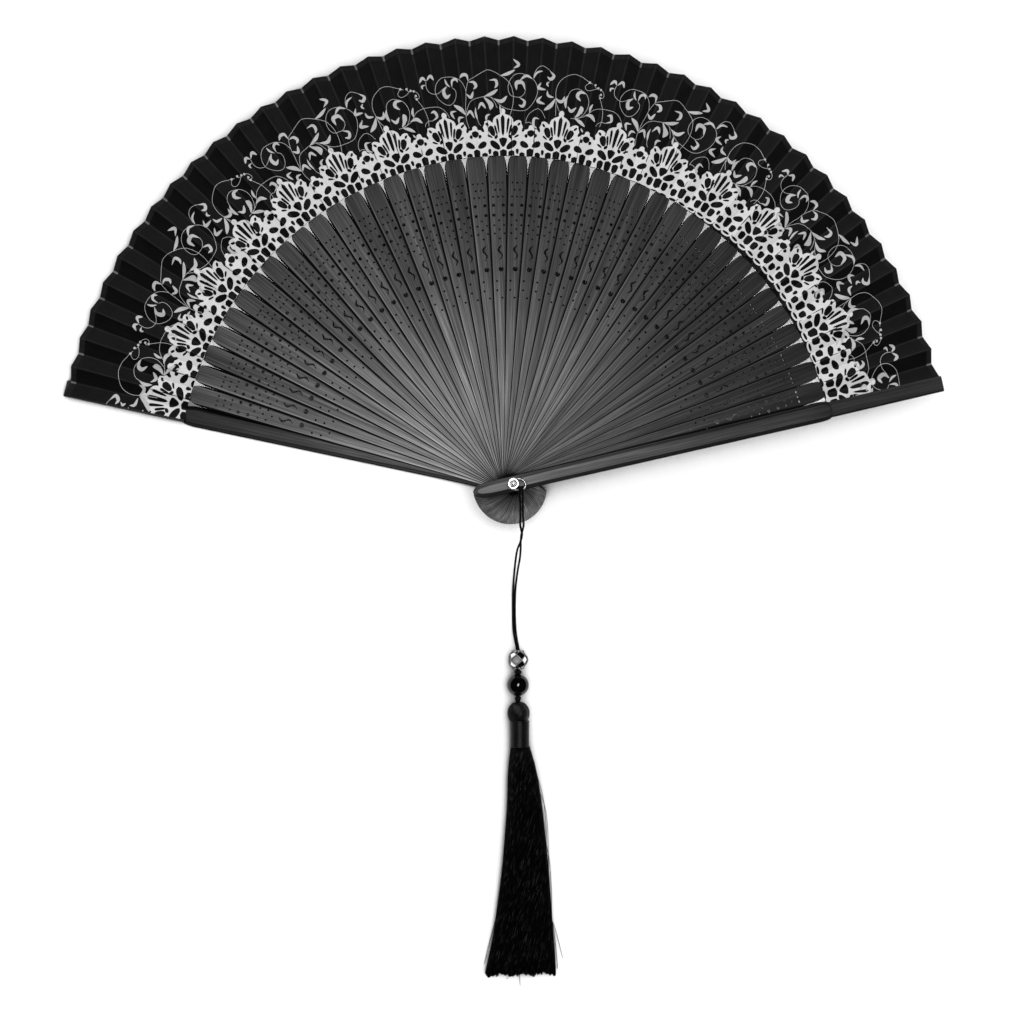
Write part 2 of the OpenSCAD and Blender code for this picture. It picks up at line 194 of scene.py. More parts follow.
def on_leaf(s, r, lift=0.0):
    """Points on the pleated leaf: s counts pleats from the lower guard, r is the distance from the rivet."""
    s, r = np.broadcast_arrays(np.asarray(s, float), np.asarray(r, float))
    pleat = np.clip(np.floor(s), 0, PANELS - 1).astype(int)
    t = s - pleat

    def fold(f):
        side = np.where(f % 2 == 0, 1, -1)
        a = np.radians(LOWER_GUARD_DIR - (f // 2) * FOLD_STEP) + side * QUARTER
        z = SLIP_Z0 + (f // 2) * STICK_STEP + LEAF_LIFT + side * PLEAT_RISE * math.sin(QUARTER) * r
        return np.stack([r * np.cos(a), r * np.sin(a), z], -1)

    p = fold(pleat) * (1 - t)[..., None] + fold(pleat + 1) * t[..., None]
    free = pleat % 2
    p[..., 2] += lift - free * TUCK * SAG_SCALE * t * t * (1 - t)
    return p


def outer_edge(s):
    """Radius of the zigzag outer edge."""
    near_ridge = np.abs((np.asarray(s, float) + 1) % 2 - 1)
    return LEAF_RIDGE - (LEAF_RIDGE - LEAF_VALLEY) * near_ridge


def bend_with_fan(obj):
    """Bakes a leaf piece's placement into its mesh."""
    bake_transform(obj)


def sheet_grid(name, s_values, r_of, rows, low, high):
    """Closed thin sheet over the leaf: r_of(s, v) for v from 0 to 1, between two lifts."""
    cols = len(s_values)
    s_grid, v_grid = np.meshgrid(s_values, np.linspace(0, 1, rows + 1), indexing="ij")
    r_grid = r_of(s_grid, v_grid)
    layers = [on_leaf(s_grid, r_grid, lift).reshape(-1, 3) for lift in (low, high)]
    n = rows + 1
    count = cols * n
    faces = []
    for i in range(cols - 1):
        for j in range(rows):
            a = i * n + j
            quad = (a, a + n, a + n + 1, a + 1)
            faces.append(quad)
            faces.append(tuple(count + k for k in reversed(quad)))
    rim = [(i, 0) for i in range(cols)] + [(cols - 1, j) for j in range(1, n)]
    rim += [(i, rows) for i in range(cols - 2, -1, -1)] + [(0, j) for j in range(rows - 1, 0, -1)]
    ring = [i * n + j for i, j in rim]
    for a, b in zip(ring, ring[1:] + ring[:1]):
        faces.append((b, a, count + a, count + b))
    obj = mesh_object(name, np.concatenate(layers), faces, smooth=False)
    uv = obj.data.uv_layers.new(name="cloth")
    s_all = np.tile(s_grid.ravel(), 2)
    r_all = np.tile(r_grid.ravel(), 2)
    corner = np.zeros(len(obj.data.loops), np.int32)
    obj.data.loops.foreach_get("vertex_index", corner)
    uv.data.foreach_set("uv", np.stack([s_all[corner] * BAND_MM * MM, r_all[corner] * MM], -1).ravel())
    return obj, s_all


leaf_s = np.linspace(0, PANELS, PANELS * S_CELLS + 1)
leaf, s_all = sheet_grid(
    "leaf_silk", leaf_s, lambda s, v: LEAF_IN + v * (outer_edge(s) - LEAF_IN), R_CELLS, -LEAF_T / 2, LEAF_T / 2
)
bend_with_fan(leaf)
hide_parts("leaf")

# Binding round the outer edge, a narrow strip folded over it
HEM_W = 2.3
HEM_LIFT = 0.09
HEM_PAST = 0.12
hem, s_all = sheet_grid(
    "leaf_hem", leaf_s, lambda s, v: outer_edge(s) + HEM_PAST - HEM_W * (1 - v), 2, -HEM_LIFT, HEM_LIFT
)
bend_with_fan(hem)


# ---- print on the leaf: a band of lace and a scroll of vines ----
def stroke(points, width, taper, per_span=7):
    """Quads along a curve. taper 0 keeps the width, and 1 draws a leaf that is widest towards its far end."""
    line = spline(points, per_span)
    along = np.gradient(line, axis=0)
    along /= np.linalg.norm(along, axis=1)[:, None] + 1e-9
    across = np.stack([-along[:, 1], along[:, 0]], -1)
    t = np.linspace(0, 1, len(line))
    leaf_shape = np.sin(np.pi * t**1.15) ** 0.8 + 0.08
    half = width / 2 * ((1 - taper) + taper * leaf_shape)
    left, right = line + across * half[:, None], line - across * half[:, None]
    return [np.array([right[i], right[i + 1], left[i + 1], left[i]]) for i in range(len(line) - 1)]


HOLE_GROW, HOLE_GROW_WIDE = 1.15, 1.36  # the holes drawn below are opened out by this much


def hole(x, r, turn, length, wide, narrow, blunt=2.2):
    return petal(x, r, turn, length * HOLE_GROW, wide * HOLE_GROW_WIDE, narrow * HOLE_GROW_WIDE, blunt)


def petal(x, r, turn, length, wide, narrow, blunt=2.2, steps=14):
    """Hole or knob: an oval whose width changes from wide to narrow along its length. turn is from +x."""
    u = np.linspace(-1, 1, steps // 2 + 2)
    half = (wide + (narrow - wide) * (u + 1) / 2) / 2 * np.maximum(0, 1 - np.abs(u) ** blunt) ** (1 / blunt)
    axis = u * length / 2
    shape = np.concatenate([np.stack([axis, -half], -1), np.stack([axis, half], -1)[-2:0:-1]])
    a = math.radians(turn)
    turned = shape @ np.array([[math.cos(a), math.sin(a)], [-math.sin(a), math.cos(a)]])
    return turned + np.array([x, r])


def mirror_x(shapes):
    return [s[::-1] * np.array([-1, 1]) for s in shapes]


SHELL_PITCH = 28.4  # from one shell of the lace to the next
SHELL_AT = 36.37  # a shell's place along the leaf, in pleats
SHELLS_LEFT, SHELLS_RIGHT = 8, 10

# Right half of one repeat of the lace's outer edge, from the shell's top to the small motif's top: (x, radius)
LACE_TOP = [
    (0, 163.8), (0.9, 163.4), (1.3, 162.5), (1.0, 161.4), (1.6, 161.1), (3.0, 160.6), (4.4, 159.6), (4.9, 158.6),
    (5.0, 157.5), (5.6, 157.6), (6.6, 158.3), (7.9, 158.6), (9.1, 158.3), (9.3, 157.2), (10.1, 155.7), (9.5, 154.2),
    (9.9, 153.5), (10.6, 153.8), (11.3, 154.6), (12.4, 154.7), (12.9, 155.2), (13.1, 156.1), (13.7, 156.5),
]
LACE_FOOT_R = 139.1  # radius of the scalloped foot of the lace, seen where the leaf shows all of it
FOOT_LOOPS = 5


def lace_repeat():
    """One shell and one small motif: (outlines, holes), x from the shell's centre."""
    half_pitch = SHELL_PITCH / 2
    right = [np.array(p, float) for p in LACE_TOP] + [np.array([half_pitch, 156.6])]
    top = [np.array([-p[0], p[1]]) for p in right[:0:-1]] + right
    outline = np.array([(-half_pitch, LACE_FOOT_R + 0.6)] + [(half_pitch, LACE_FOOT_R + 0.6)] + top[::-1])
    seam = np.array([(half_pitch - 0.2, LACE_FOOT_R + 0.6), (half_pitch + 0.2, LACE_FOOT_R + 0.6),
                     (half_pitch + 0.2, 156.5), (half_pitch - 0.2, 156.5)])
    outlines = [outline, seam]
    holes = [
        hole(0, 156.4, -90, 8.2, 1.6, 1.0, 3),
        hole(0, 149.0, -90, 3.8, 4.0, 1.2, 2.4),
        hole(0, 143.6, -90, 4.2, 3.0, 2.3, 3.4),
    ]
    side = [
        hole(2.4, 156.2, -98, 6.2, 1.1, 0.5, 3),
        hole(3.6, 154.3, -106, 4.1, 0.9, 0.7, 3),
        hole(5.7, 153.8, -117, 4.5, 2.6, 1.7, 2.2),
        hole(8.0, 156.8, 42, 1.7, 0.8, 0.8),
        hole(6.8, 151.5, 27, 2.6, 0.5, 0.8),
        hole(3.6, 151.3, -42, 2.0, 1.0, 1.1),
        hole(4.3, 147.7, 30, 5.6, 2.0, 2.4, 2.0),
        hole(4.2, 143.3, -92, 3.6, 2.6, 2.1, 3.0),
        hole(7.4, 144.9, -90, 2.2, 1.5, 0.9, 2.2),
        hole(10.1, 142.9, -88, 3.2, 2.5, 1.9, 3.0),
        hole(half_pitch - 2.3, 151.8, -60, 1.6, 1.4, 0.9, 2.0),
        hole(half_pitch - 3.1, 148.0, 158, 4.4, 1.6, 2.4, 2.0),
    ]
    holes += side + mirror_x(side)
    holes += [
        hole(half_pitch, 152.9, -90, 2.7, 3.2, 2.2, 1.9),
        hole(half_pitch, 143.9, -90, 4.4, 2.9, 2.1, 3.4),
    ]
    for i in range(FOOT_LOOPS):
        x = (i + 0.5) * SHELL_PITCH / FOOT_LOOPS - half_pitch
        outlines.append(petal(x, LACE_FOOT_R + 0.7, 0, 6.0, 2.6, 2.6, 2.0))
        holes.append(petal(x, LACE_FOOT_R + 0.8, 0, 4.1, 1.2, 1.2, 2.0))
    return outlines, holes


VINE_PITCH = 84.15  # from one repeat of the scroll to the next
VINE_AT = 30.02  # where a repeat starts along the leaf, in pleats
VINES_LEFT, VINES_RIGHT = 3, 4
VINE_FROM_R = 150  # the scroll is cut off below this radius
VINE_W = 0.17
VINE_LEAF_WIDTH = 0.78  # share of the widths below that is drawn

# Stems of one repeat of the scroll: (x, radius)
STEMS = [
    [(7.5, 161.5), (6.8, 168.5), (6.4, 172), (6.9, 175), (8.3, 177.5), (10.8, 179.3), (13.6, 180.4), (16.7, 180),
     (19.2, 178.6), (21.9, 177.1)],
    [(9, 163.5), (7.6, 166), (6.7, 168.6)],
    [(20.7, 177.8), (19.2, 176.1), (19.4, 174.8), (20.6, 174.1), (22.5, 174.5), (24.4, 175.6), (25.4, 176.2)],
    [(23.2, 177.1), (23.4, 176.2), (24.2, 175.6)],
    [(26.2, 175.6), (27.5, 174.7), (28.2, 173.3), (27.8, 172.2), (26.7, 171.9), (26, 172.8), (26.7, 173.5)],
    [(26.4, 172.3), (27.8, 169.7), (28.9, 167.5), (29.6, 165), (29.9, 162.2), (29.6, 159.4)],
    [(27.7, 159.4), (28.3, 160.6), (29.9, 161.6), (31.9, 161.3)],
    [(11.6, 168.4), (12.6, 172.2), (14.2, 173.8), (16.4, 174.4), (18.4, 173.6), (20.2, 172.4), (21.2, 170.9),
     (21.9, 168.9), (21.9, 166.4), (21.1, 164.2), (20, 162.5), (18.4, 161.5), (15, 161.1)],
    [(17, 161.4), (19.4, 161.9), (21.9, 163), (24.4, 165.6), (26.1, 166.7), (28.9, 167.4), (32.8, 167.2),
     (36.1, 166.4), (38.1, 165), (39.4, 163.3), (40.2, 161.6)],
    [(32.4, 178.6), (32.1, 176.7), (32.4, 174.7), (33.6, 173.1), (35.6, 172.3), (37.5, 172.9), (39.2, 174.2),
     (40.8, 175.1)],
    [(43.5, 174.3), (44.7, 172.8), (44.7, 170.6), (43.6, 168.3), (41.9, 167.1), (40, 167.2), (38.1, 168.3),
     (36.3, 170.3), (35.6, 172.3), (35.7, 174.4), (36.7, 176.7), (38.6, 178.6), (40.6, 179.3), (44.4, 178.8),
     (47.2, 176.9), (48.6, 174.7), (49.4, 172.2)],
    [(49, 155.8), (48.2, 158.6), (48, 161.1), (48.4, 165.6), (49, 168.9), (49.4, 172.2), (50.1, 174.4),
     (51.2, 176.8), (54, 178.3), (57.3, 179.9), (59.8, 180.7), (62.3, 180.1), (65.1, 178.6), (67.6, 176.8),
     (69.3, 174.9), (70.4, 172.2), (71, 168.9), (70.8, 165.6), (70.1, 162.8), (69.4, 160.6)],
    [(48.1, 162), (49, 164.2), (50.7, 167.2), (52.9, 168.6), (55.1, 169), (57.5, 169.3), (60.7, 168.8),
     (62.9, 167.5), (64.6, 165.8), (66.8, 164.3), (70.1, 163.2), (74, 162.9), (77.6, 163.6), (80.1, 166.1),
     (81.6, 168.9), (82.1, 172.2), (81.2, 175), (79.8, 176.9)],
    [(60.5, 168.9), (62.3, 166.7), (63.4, 164.2)],
    [(76.5, 178.9), (74.3, 179.2), (71.8, 178.6), (69.8, 176.7), (68.7, 173.9), (68.9, 171.1), (70.1, 169.3),
     (72.1, 168.8), (74.2, 168.9), (76, 170.3), (76.6, 172)],
    [(80, 177.2), (80.3, 179.4), (81.5, 181.7), (83.6, 182.7), (85.7, 181.9), (87.3, 180.8)],
    [(53.5, 160), (54.1, 158), (55, 156.8)],
    [(77.5, 157.5), (77.6, 159.4), (79, 161.9), (81.5, 163.5), (83.2, 163.8), (85.1, 162.5), (86.8, 160)],
    [(77.6, 157.9), (79, 158), (80.2, 157.4)],
]
# Leaves of one repeat: a curved line from the stem to the tip, and the leaf's width
LEAVES = [
    ([(6.5, 169), (4.6, 165.8), (1.6, 163.5)], 2.2),
    ([(6.5, 169.4), (8.3, 167.9), (9.8, 168), (10.5, 170.2)], 1.7),
    ([(2.4, 172.3), (3, 170.2), (5.7, 169.5)], 1.4),
    ([(11.9, 170.6), (11.2, 168), (11.8, 165)], 1.6),
    ([(12.6, 166), (14.6, 164.2), (16.8, 166.2)], 1.7),
    ([(20, 172.6), (17.4, 173), (16.4, 171.2), (18.2, 169.2)], 1.9),
    ([(16.8, 161.6), (18.6, 163.8), (18.8, 167)], 1.9),
    ([(19.6, 163.4), (19.8, 165.6), (18.9, 167)], 1.0),
    ([(17, 161.2), (19.6, 160), (22.3, 158)], 1.7),
    ([(21.3, 163), (24.4, 163.2), (26.8, 161.2)], 1.9),
    ([(23.3, 164.2), (23.2, 166.4), (24, 168.5)], 1.3),
    ([(31.8, 161.4), (34.2, 162.6), (33.4, 165), (31.7, 164.8)], 1.5),
    ([(32.5, 178.8), (31.2, 180.4), (29.6, 178.6)], 1.5),
    ([(32.7, 178.8), (34.6, 180.5), (35.8, 178.4)], 1.5),
    ([(32, 177.2), (30.4, 177), (30.4, 175.6)], 1.0),
    ([(41.2, 175.3), (39.4, 173.2), (40.2, 170.6), (42.3, 171.6)], 2.0),
    ([(42.6, 174.7), (41.3, 176.4), (40.8, 178.6)], 1.0),
    ([(43.4, 174.5), (43.8, 177.2), (45.4, 177.8), (46.2, 176.2)], 1.4),
    ([(48, 161.6), (46, 164.4), (43, 166.8)], 2.1),
    ([(43.9, 164), (41.4, 163.6), (42.5, 160.7)], 1.3),
    ([(47, 160.7), (44.8, 160.8), (44.2, 158.4)], 1.3),
    ([(50.9, 176.4), (50.4, 179), (48.6, 179.2), (47.2, 177.8)], 1.7),
    ([(51, 176), (53.2, 176), (54.2, 174.2), (53, 172.9)], 1.6),
    ([(49.3, 170.9), (51.4, 169.4), (52.8, 172)], 1.6),
    ([(48.2, 161.2), (50.4, 163.2), (52.2, 160.2)], 1.5),
    ([(53.2, 165), (53, 162.4), (53.7, 159.4)], 1.1),
    ([(54.2, 163.9), (56, 166.4), (57.9, 164)], 1.5),
    ([(57.2, 169.2), (59.8, 166), (60, 163.2)], 2.0),
    ([(59, 168), (61.2, 165.6), (60, 163.2)], 1.1),
    ([(57.4, 169.2), (61, 170.4), (64, 172.4)], 1.8),
    ([(60.1, 176.2), (63, 176.4), (63.6, 174.4), (62.5, 172.8)], 1.6),
    ([(61.8, 168.2), (65.6, 167.2), (68.2, 169.4)], 1.9),
    ([(64.7, 165.6), (65, 163.8), (65.6, 162)], 1.1),
    ([(59.8, 161.4), (58, 160.6), (57.8, 158.4)], 1.3),
    ([(65.3, 178.4), (68.4, 179), (71.6, 180.5)], 1.7),
    ([(70.9, 181.1), (73.2, 183), (70.8, 185.2)], 1.6),
    ([(79.6, 177), (76.8, 178.4), (74, 176.3)], 1.4),
    ([(76.6, 172), (75.2, 175.2), (72.4, 174.9), (72.4, 171.8)], 2.1),
    ([(73.8, 168.7), (76.4, 167.2), (75.6, 165), (73.5, 165.4)], 1.6),
    ([(80.1, 177.2), (81.2, 179.6), (83.8, 180.5)], 1.1),
    ([(87, 181), (88.9, 179), (87.6, 177.4), (86, 178.3)], 1.7),
    ([(83.4, 175.4), (82.4, 173), (85.8, 172.5)], 1.6),
    ([(87.2, 176.3), (86.2, 175.2), (87, 174)], 1.1),
    ([(84.2, 169.6), (82.5, 167.2), (86, 166.2)], 1.7),
    ([(83.8, 159.4), (81.4, 159.6), (81.2, 156.6), (83, 155.2)], 1.5),
    ([(20.7, 157.3), (21.2, 156.4), (22, 155.5)], 0.9),
]
DOTS = [(20.7, 177.7), (23.3, 176.9), (24.9, 175.9), (26.2, 175.5), (26.7, 173.4), (26.7, 171.9)]
DOT_D = 1.0

# How far the print has crept outwards along the leaf: (pleats, mm)
LACE_CREEP = [(0, 0.2), (7, -0.4), (17, 1.9), (27, 1.5), (37, 0.1), (46, 0.6), (56, 3.2), (65, 6.0), (71, 6.0),
              (83, 2.8)]
VINE_CREEP = [(0, -5.0), (7, -4.6), (14, -1.4), (22, 0.9), (36, 0.0), (43, 0.0), (51, 2.1), (58, 3.2), (66, 3.9),
              (72, 2.6), (83, -2.6)]
# The print is stretched towards both ends of the leaf, in pleats
STRETCH_MID, STRETCH_HALF, STRETCH_MOST, STRETCH_POWER = 41.2, 38.4, 1.5, 7


def creep(s, knots):
    table = spline(knots, 8)
    return np.interp(s, table[:, 0], table[:, 1])


def place_print(shapes, at, knots):
    """Shapes in mm, laid on the leaf from a place in pleats: an array of (pleats, radius) for each."""
    placed = []
    for shape in shapes:
        s = at + shape[:, 0] / BAND_MM
        s = s + STRETCH_MOST * ((s - STRETCH_MID) / STRETCH_HALF) ** STRETCH_POWER
        placed.append(np.stack([s, shape[:, 1] + creep(s, knots)], -1))
    return placed


def inside(places, shape):
    """Which places lie in a polygon."""
    x, y = places[:, 0], places[:, 1]
    found = np.zeros(len(places), bool)
    for (x0, y0), (x1, y1) in zip(shape, np.roll(shape, -1, axis=0)):
        if y0 != y1:
            found ^= ((y0 > y) != (y1 > y)) & (x < (x1 - x0) * (y - y0) / (y1 - y0) + x0)
    return found


PRINT_CHUNK = 2  # pleats cut at a time


def print_mesh(name, solids, holes, lift, r_low):
    """Cuts flat shapes along the leaf's own cells and lays them on it. Solids join up, and holes are left out."""
    r_high = max(p[:, 1].max() for p in solids) + 1
    points, triangles = [], []
    for s0 in range(0, PANELS, PRINT_CHUNK):
        s1 = min(s0 + PRINT_CHUNK, PANELS)
        verts, edges = [], []

        def add(shape):
            first, n = len(verts), len(shape)
            verts.extend((s * BAND_MM, r) for s, r in shape)
            edges.extend((first + i, first + (i + 1) % n) for i in range(n if n > 2 else 1))

        near_solids, near_holes = (
            [p for p in group if p[:, 0].max() > s0 and p[:, 0].min() < s1] for group in (solids, holes)
        )
        for s in np.linspace(s0, s1, (s1 - s0) * S_CELLS + 1):
            add([(s, r_low), (s, r_high)])
        add([(s0, r_low), (s1, r_low)])
        for p in near_solids + near_holes:
            add(p)
        out = delaunay_2d_cdt([Vector(v) for v in verts], edges, [], 0, 1e-5)
        co = np.array([(v[0] / BAND_MM, v[1]) for v in out[0]])
        tris = np.array(out[2])
        middle = co[tris].mean(axis=1)
        keep = np.zeros(len(tris), bool)
        for p in near_solids:
            keep |= inside(middle, p)
        for p in near_holes:
            keep &= ~inside(middle, p)
        keep &= (middle[:, 0] > s0) & (middle[:, 0] < s1) & (middle[:, 1] > r_low)
        kept = tris[keep]
        used, renumbered = np.unique(kept, return_inverse=True)
        triangles.extend((renumbered.reshape(-1, 3) + len(points)).tolist())
        places = co[used]
        places[:, 0] = np.clip(places[:, 0], s0, s1)
        points.extend(places.tolist())
    places = np.array(points)
    obj = mesh_object(name, on_leaf(places[:, 0], places[:, 1], lift), triangles, smooth=False)
    bend_with_fan(obj)
    return obj


PRINT_LIFT = LEAF_T / 2 + 0.03
lace_solids, lace_holes = [], []
outlines, cutouts = lace_repeat()
for k in range(-SHELLS_LEFT, SHELLS_RIGHT + 1):
    at = SHELL_AT + k * SHELL_PITCH / BAND_MM
    lace_solids += place_print(outlines, at, LACE_CREEP)
    lace_holes += place_print(cutouts, at, LACE_CREEP)
lace = print_mesh("leaf_lace_print", lace_solids, lace_holes, PRINT_LIFT, LEAF_IN + 0.1)

scroll = []
for line in STEMS:
    scroll += stroke(line, VINE_W, 0)
for line, width in LEAVES:
    scroll += stroke(line, width * VINE_LEAF_WIDTH, 1)
scroll += [petal(x, r, 0, DOT_D, DOT_D, DOT_D) for x, r in DOTS]
vine_solids = []
for k in range(-VINES_LEFT, VINES_RIGHT + 1):
    vine_solids += place_print(scroll, VINE_AT + k * VINE_PITCH / BAND_MM, VINE_CREEP)
vines = print_mesh("leaf_scroll_print", vine_solids, [], PRINT_LIFT + 0.01, VINE_FROM_R)

# ---- tail: beads, knots and tassel ----
BEAD_X, BEAD_Z = 4.1, 4.85
SILVER_Y, SILVER_R = -76.6, 4.6
BLACK_Y, BLACK_R = -87.7, 4.85
BORE_R = 1.1


def lying(points, x, y, z):
    """Points made round +Z, laid along the tail so that their +Z points towards -Y."""
    return [(x + px, y - pz, z + py) for px, py, pz in points]


def polar(r, a, h):
    return r * math.cos(a), r * math.sin(a), h


def lathe(profile, steps):
    """Closed turned solid round +Z from (radius, height) points: (points, faces)."""
    points, faces = [], []
    n = len(profile)
    for i in range(steps):
        a = math.tau * i / steps
        points += [polar(r, a, h) for r, h in profile]
    for i in range(steps):
        j = (i + 1) % steps
        for k in range(n):
            m = (k + 1) % n
            faces.append((i * n + k, j * n + k, j * n + m, i * n + m))
    return points, faces


def tube(path, radius, sides, closed=False):
    """Thin tube along points in mm: (points, faces)."""
    path = [Vector(p) for p in path]
    points = []
    for p, (side, up) in zip(path, path_frames(path, (0.3, 0.2, 1), closed)):
        for k in range(sides):
            b = math.tau * k / sides
            points.append(p + radius * (math.cos(b) * side + math.sin(b) * up))
    return points, ring_faces(len(path), sides, closed=closed)


def joined(parts):
    """Several (points, faces) as one."""
    points, faces = [], []
    for pts, fcs in parts:
        first = len(points)
        points += [tuple(p) for p in pts]
        faces += [tuple(first + i for i in f) for f in fcs]
    return points, faces


def bead_profile(radius, steps, rim=0.35):
    """Round bead with a softly rounded bore."""
    start = math.acos(min(1, (BORE_R + rim) / radius))
    outer = [(radius * math.cos(a), radius * math.sin(a)) for a in np.linspace(-start, start, steps)]
    top = outer[-1][1]
    inner = [(BORE_R + 0.08, top - 0.05), (BORE_R, top - 0.5), (BORE_R, -top + 0.5), (BORE_R + 0.08, -top + 0.05)]
    return outer + inner


pts, fcs = lathe(bead_profile(BLACK_R, 64), 128)
black_bead = mesh_object("black_bead_polished", lying(pts, BEAD_X, BLACK_Y, BEAD_Z), fcs)
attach(black_bead, "black_bead")
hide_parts("black_bead")

# Silver bead: flat facets in a net of wire, with a grain of silver at each crossing
FACETS = 5
FACET_ROWS = (-62, -33, 0, 33, 62)
SILVER_CORE_R, WIRE_R, GRAIN_R = SILVER_R - 0.35, 0.22, 0.4
END_RING_R, END_WIRE_R = 1.5, 0.3
END_GRAINS, END_GRAIN_AT, END_GRAIN_R = 10, 2.3, 0.45


def net_point(row, i, radius):
    lat = math.radians(FACET_ROWS[row])
    lon = math.tau * (i + (row % 2) / 2) / FACETS
    return radius * Vector((math.cos(lat) * math.cos(lon), math.cos(lat) * math.sin(lon), math.sin(lat)))


core_points, core_faces = [], []
rows = len(FACET_ROWS)
for row in range(rows):
    core_points += [net_point(row, i, SILVER_CORE_R) for i in range(FACETS)]
for row in range(rows - 1):
    for i in range(FACETS):
        low_a, low_b = row * FACETS + i, row * FACETS + (i + 1) % FACETS
        up_a, up_b = (row + 1) * FACETS + i, (row + 1) * FACETS + (i + 1) % FACETS
        if row % 2:
            core_faces += [(low_a, low_b, up_b), (low_a, up_b, up_a)]
        else:
            core_faces += [(low_a, low_b, up_a), (low_b, up_b, up_a)]
end_h = abs(core_points[0].z)
for row, sign in ((0, -1), (rows - 1, 1)):
    first = len(core_points)
    for i in range(FACETS):
        a = math.tau * (i + (row % 2) / 2) / FACETS
        core_points.append(polar(BORE_R, a, sign * (end_h + 0.15)))
    for i in range(FACETS):
        j = (i + 1) % FACETS
        quad = (row * FACETS + i, first + i, first + j, row * FACETS + j)
        core_faces.append(quad if sign < 0 else tuple(reversed(quad)))
wires, grains = [], []
for row in range(rows - 1):
    for i in range(FACETS):
        here = net_point(row, i, 1)
        for j in ((i, i + 1) if row % 2 else (i - 1, i)):
            there = net_point(row + 1, j, 1)
            arc = [here.slerp(there, t).normalized() for t in np.linspace(0, 1, 9)]
            wires.append(tube([q * (SILVER_CORE_R - 0.02) for q in arc], WIRE_R, 8))


def grain(centre, radius, rings=6, steps=10):
    profile = [(max(0.001, radius * math.sin(a)), -radius * math.cos(a)) for a in np.linspace(0, math.pi, rings)]
    pts, fcs = lathe(profile, steps)
    return [Vector(q) + centre for q in pts], fcs


for row in range(rows):
    for i in range(FACETS):
        grains.append(grain(net_point(row, i, SILVER_CORE_R - 0.03), GRAIN_R))
for sign in (-1, 1):
    h = sign * (end_h + 0.12)
    ring = [polar(END_RING_R, a, h) for a in np.linspace(0, math.tau, 33)[:-1]]
    wires.append(tube(ring, END_WIRE_R, 8, closed=True))
    for i in range(END_GRAINS):
        a = math.tau * (i + 0.3) / END_GRAINS
        grains.append(grain(Vector(polar(END_GRAIN_AT, a, h * 0.97)), END_GRAIN_R))
silver_pieces = []
for name, parts in (("facets", [(core_points, core_faces)]), ("wirework", wires), ("grains", grains)):
    pts, fcs = joined(parts)
    piece = mesh_object("silver_bead_" + name, lying(pts, BEAD_X, SILVER_Y, BEAD_Z), fcs, smooth=name != "facets")
    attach(piece, "silver_bead")
    silver_pieces.append(piece)
silver_core, silver_net, silver_grains = silver_pieces
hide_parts("silver_bead")


def knot_coil(winds, waves, ring_r, wave_r, wave_h, tube_r, steps=150):
    """Cord wound round itself as in a small round knot."""
    path = []
    for a in np.linspace(0, math.tau * winds, steps, endpoint=False):
        b = a * waves / winds
        path.append(polar(ring_r + wave_r * math.cos(b), a, wave_h * math.sin(b)))
    return tube(path, tube_r, 10, closed=True)


KNOT_THREAD_R, MIDDLE_KNOT_Y, LOWER_KNOT_Y, LAST_COIL_Y = 0.4, -82.0, -93.5, -94.65
pts, fcs = knot_coil(2, 5, 1.0, 0.35, 0.42, KNOT_THREAD_R)
middle_knot = mesh_object("middle_knot_cord", lying(pts, BEAD_X, MIDDLE_KNOT_Y, BEAD_Z), fcs)
pts, fcs = knot_coil(2, 5, 0.85, 0.3, 0.42, KNOT_THREAD_R)
last_pts, last_fcs = knot_coil(1, 2, 0.68, 0.06, 0.14, 0.38)
coils = [(lying(pts, BEAD_X, LOWER_KNOT_Y, BEAD_Z), fcs), (lying(last_pts, BEAD_X, LAST_COIL_Y, BEAD_Z), last_fcs)]
lower_knot = mesh_object("lower_knot_cord", *joined(coils))
for piece, node_name in ((middle_knot, "middle_knot"), (lower_knot, "lower_knot")):
    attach(piece, "tail")
    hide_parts(node_name)

# Tassel head: threads drawn slantwise over a knob, in two folds
TASSEL_X, TASSEL_TOP, TASSEL_Z = 4.5, -95.2, 5.05
HEAD_L, HEAD_R, CROWN, CROWN_L = 8.1, 5.0, 4.8, 5.2
THREAD_R = 0.17


def head_radius(h):
    return HEAD_R * math.sqrt(max(0.0, 1 - ((h - CROWN) / CROWN_L) ** 2))


random.seed(11)
threads = []
HEAD_THREADS = 132
for i in range(HEAD_THREADS):
    start = math.tau * i / HEAD_THREADS
    front_fold = math.sin(start - 0.6) > 0
    twist = math.radians(75 if front_fold else -28) + random.uniform(-0.05, 0.05)
    sink = 0.2 if front_fold else 0.42
    path = []
    for t in np.linspace(0, 1, 26):
        h = 0.25 + (HEAD_L - 0.1) * t
        r = max(0.3, head_radius(h) - sink + random.uniform(-0.03, 0.03))
        a = start + twist * math.sin(t * math.pi / 2)
        path.append(polar(r, a, h))
    threads.append(tube(path, THREAD_R, 5))
core_profile = [(max(0.02, head_radius(h) - 0.55), h) for h in np.linspace(0.4, HEAD_L, 20)]
threads.append(lathe([(0.02, 0.3)] + core_profile + [(0.02, HEAD_L)], 48))
pts, fcs = joined(threads)
tassel_head = mesh_object("tassel_head_threads", lying(pts, TASSEL_X, TASSEL_TOP, TASSEL_Z), fcs)

